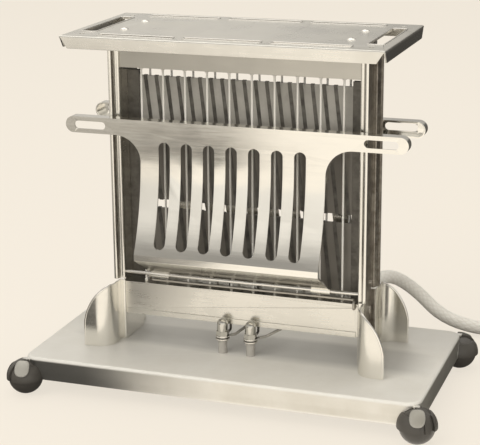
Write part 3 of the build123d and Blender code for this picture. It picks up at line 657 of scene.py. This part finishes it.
def claw(name, sx, sy):
    """Rounded nickel tongue from the plate over the ball."""
    def on_ball(u, v):
        rise = CLAW_RISE + v * CLAW_HALF_HEIGHT
        turn = CLAW_TURN + u * CLAW_HALF_WIDTH / (math.cos(rise) + CLAW_TAPER)
        return (sx * BALL[0] + CLAW_R * math.cos(rise) * math.sin(turn),
                sy * (BALL[1] + CLAW_R * math.cos(rise) * math.cos(turn)), BALL[2] + CLAW_R * math.sin(rise))

    bm = bmesh.new()
    around, steps = 48, 8
    middle = bm.verts.new(on_ball(0, 0))
    rings = []
    for k in range(1, steps + 1):
        ring = []
        for i in range(around):
            c, s = math.cos(2 * math.pi * i / around), math.sin(2 * math.pi * i / around)
            reach = k / steps * (abs(c) ** CLAW_POWER + abs(s) ** CLAW_POWER) ** (-1 / CLAW_POWER)
            ring.append(bm.verts.new(on_ball(c * reach, s * reach)))
        rings.append(ring)
    for i in range(around):
        bm.faces.new((middle, rings[0][i], rings[0][(i + 1) % around]))
    for inner, outer in zip(rings, rings[1:]):
        join_rings(bm, inner, outer)
    sheet_piece(name, bm, thickness=0.0005, material=claw_plate)


for sx, side in ((-1, "left"), (1, "right")):
    for sy, face in ((-1, "front"), (1, "back")):
        claw(face + "_" + side + "_claw", sx, sy)

# ---------------- cord ----------------
CORD_D = 0.008
COIL = (0.198, 0.060)
LANE_IN, LANE_OUT = 0.044, 0.052        # radii of the two lanes of turns
FLOOR_Z, SECOND_Z, THIRD_Z = CORD_D / 2, CORD_D * 1.5, CORD_D * 2.5
TURN_STEPS = 16
CROSS_FROM = 0.72                       # share of a turn after which the cord moves to its next lane
entry_y = COIL[1] + LANE_OUT
route = [(0.0595, 0.034, 0.0472), (0.0595, 0.0737, 0.0472), (0.0709, 0.1043, 0.0315),
         (0.0943, 0.1104, 0.0056), (0.140, entry_y, 0.004), (0.168, entry_y, 0.004)]
# five turns: outer and inner on the floor, inner twice more, then out on the outer
lanes = [(LANE_OUT, FLOOR_Z), (LANE_IN, FLOOR_Z), (LANE_IN, SECOND_Z), (LANE_IN, THIRD_Z),
         (LANE_OUT, SECOND_Z)]
turns = []
for i in range(1, TURN_STEPS * len(lanes)):
    turn, step = divmod(i, TURN_STEPS)
    cross = max(0.0, (step / TURN_STEPS - CROSS_FROM) / (1 - CROSS_FROM))
    here, after = lanes[turn], lanes[min(turn + 1, len(lanes) - 1)]
    r, z = (a + (b - a) * cross for a, b in zip(here, after))
    angle = math.pi / 2 - 2 * math.pi * i / TURN_STEPS
    turns.append((COIL[0] + r * math.cos(angle), COIL[1] + r * math.sin(angle), z))
way_in = [(COIL[0] - 0.004, entry_y, FLOOR_Z)]
way_out = [(COIL[0] + x, entry_y, SECOND_Z) for x in (0.004, 0.020, 0.033)]
points = route + way_in + turns + way_out

cord_cloth = braided_cotton("cord_cloth", 300.0, 4.0, light=(0.93, 0.91, 0.85), dark=(0.84, 0.81, 0.74))
cord = curve_piece("cord", [points], CORD_D / 2, cord_cloth, kind="NURBS", resolution=6)
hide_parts("cord_tube", "cord_coil")

TIE_IN, TIE_OUT = 0.0395, 0.0565        # from the coil's middle, a little clear of the turns
TIE_LOW, TIE_TOP = 0.0004, 0.0248
TIE_WIDTH, TIE_CORNER, TIE_ROWS = 0.005, 0.004, 5
tape = woven_tape("tie_tape")


def coil_tie(name, angle):
    """Cotton tape wound once round the turns of the coil."""
    centre = ((TIE_IN + TIE_OUT) / 2, (TIE_LOW + TIE_TOP) / 2)
    loop = rounded_loop(centre, (TIE_OUT - TIE_IN, TIE_TOP - TIE_LOW), TIE_CORNER)
    outward = Vector((math.cos(angle), math.sin(angle), 0))
    along = Vector((-math.sin(angle), math.cos(angle), 0))
    bm = bmesh.new()
    rows = []
    for k in range(TIE_ROWS):
        middle = Vector((*COIL, 0)) + along * TIE_WIDTH * (k / (TIE_ROWS - 1) - 0.5)
        rows.append([bm.verts.new(middle + outward * out + Vector((0, 0, z))) for out, z in loop])
    for a, b in zip(rows, rows[1:]):
        join_rings(bm, a, b)
    return sheet_piece(name, bm, thickness=0.0006, material=tape)


ties = [coil_tie("cord_tie_near", math.radians(-70)), coil_tie("cord_tie_far", math.radians(170))]

# ---------------- floor and background ----------------
# Where the lit sides of the studio are, on the ground plane. The floor shows them in reflections only,
# the world in its soft light as well.
FRONT = (0.35, -0.94, 0.0)
LEFT_FRONT = (-0.85, -0.53, 0.0)
LEFT_BACK = (-0.75, 0.66, 0.0)
RIGHT_BACK = (0.80, 0.60, 0.0)
BACK = (0.0, 1.0, 0.0)
GROUND_LEVEL = 0.845                    # of the pale ground in the picture
FLOOR_SHADE = 0.20                      # share of the ground's colour that takes light and shadow
FLOOR_HALF = 6.0

floor_mesh = bpy.data.meshes.new("floor")
floor_mesh.from_pydata([(x * FLOOR_HALF, y * FLOOR_HALF, 0) for x, y in ((-1, -1), (1, -1), (1, 1), (-1, 1))],
                       [], [(0, 1, 2, 3)])
floor = bpy.data.objects.new("floor", floor_mesh)
scene.collection.objects.link(floor)

floor_mat = bpy.data.materials.new("floor")
floor.data.materials.append(floor_mat)
paper = Nodes(floor_mat)
paper.tree.nodes.clear()
place = paper.node("ShaderNodeNewGeometry").outputs["Position"]
away = paper.vector("LENGTH", place)
side = paper.flat_direction(place)
ahead = paper.towards(side, FRONT)
# the bright part ahead is narrowest between about 0.3 and 0.7 m from the object
near = paper.soft_step(away, (0.14, 0.32), (0.26, 0.0))
beyond = paper.soft_step(away, (0.73, 1.00), (0.0, 0.16))
facing = paper.math("ADD", ahead, paper.math("ADD", near, beyond))
aside = paper.soft_step(paper.towards(side, LEFT_FRONT), (0.72, 0.95), (0.0, 1.0))
left_front = paper.math("MULTIPLY", aside, paper.soft_step(away, (0.25, 0.50), (0.0, 0.60)))
left_back = paper.soft_step(paper.towards(side, LEFT_BACK), (0.55, 0.85), (0.0, 0.75))
reflected = paper.largest(paper.soft_step(ahead, (0.35, 0.60), (0.13, 0.30)),
                          paper.soft_step(facing, (0.755, 0.815), (0.0, 1.30)), left_front, left_back)
path = paper.node("ShaderNodeLightPath").outputs
in_view = paper.largest(path["Is Camera Ray"], path["Is Transmission Ray"])
shaded = paper.node("ShaderNodeBsdfDiffuse", Color=scaled(PAPER, FLOOR_SHADE))
glow = paper.node("ShaderNodeEmission", Color=PAPER, Strength=paper.math("MULTIPLY", in_view, GROUND_LEVEL))
ground = paper.node("ShaderNodeAddShader")
paper.fill(ground, (shaded.outputs[0], glow.outputs[0]))
shine = paper.node("ShaderNodeEmission", Color=PAPER, Strength=reflected)
choose = paper.node("ShaderNodeMixShader")
paper.fill(choose, (path["Is Glossy Ray"], ground.outputs[0], shine.outputs[0]))
paper.node("ShaderNodeOutputMaterial", Surface=choose.outputs[0])

world = bpy.data.worlds.new("studio")
scene.world = world
room = Nodes(world)
room.tree.nodes.clear()
sky = room.node("ShaderNodeTexCoord").outputs["Generated"]
side = room.flat_direction(sky)
_, _, height = room.split(sky)


def wall(direction, turn, rise, levels):
    """A lit wall: it fades in as the ray turns towards it, and its level changes with the ray's rise."""
    return room.math("MULTIPLY", room.soft_step(room.towards(side, direction), turn, (0.0, 1.0)),
                     room.soft_step(height, rise, levels))


reflected = room.largest(wall(FRONT, turn=(0.45, 0.82), rise=(0.30, 0.56), levels=(1.10, 0.40)),
                         wall(LEFT_BACK, turn=(0.68, 0.88), rise=(0.12, 0.42), levels=(0.55, 0.97)),
                         wall(RIGHT_BACK, turn=(0.60, 0.90), rise=(0.15, 0.34), levels=(0.10, 0.80)),
                         wall(BACK, turn=(0.90, 0.99), rise=(0.10, 0.24), levels=(0.10, 0.50)),
                         room.soft_step(room.towards(side, LEFT_FRONT), (0.72, 0.95), (0.12, 0.60)))
path = room.node("ShaderNodeLightPath").outputs
in_view = room.largest(path["Is Camera Ray"], path["Is Transmission Ray"])
background = room.node("ShaderNodeBackground", Color=STUDIO, Strength=room.largest(reflected, in_view))
room.node("ShaderNodeOutputWorld", Surface=background.outputs[0])


# ---------------- lamps ----------------
def lamp(name, place, target, size, watts, mirrored=True):
    """Soft rectangular lamp turned to the target; metal shows it only where it is mirrored."""
    data = bpy.data.lights.new(name, "AREA")
    data.shape = "RECTANGLE"
    data.size, data.size_y = size
    data.energy = watts
    data.color = LAMP
    obj = bpy.data.objects.new(name, data)
    scene.collection.objects.link(obj)
    obj.location = place
    obj.rotation_euler = (Vector(target) - Vector(place)).to_track_quat("-Z", "Y").to_euler()
    obj.visible_glossy = mirrored


lamp("key", place=(-0.70, -1.35, 1.50), target=(0, 0, 0.09), size=(1.7, 1.4), watts=21.0, mirrored=False)
lamp("top", place=(-0.1, 0.3, 1.8), target=(0, 0, 0.1), size=(2.2, 1.8), watts=9.0)
lamp("fill", place=(0.75, -1.70, 0.60), target=(0, 0, 0.09), size=(1.6, 1.0), watts=11.0, mirrored=False)
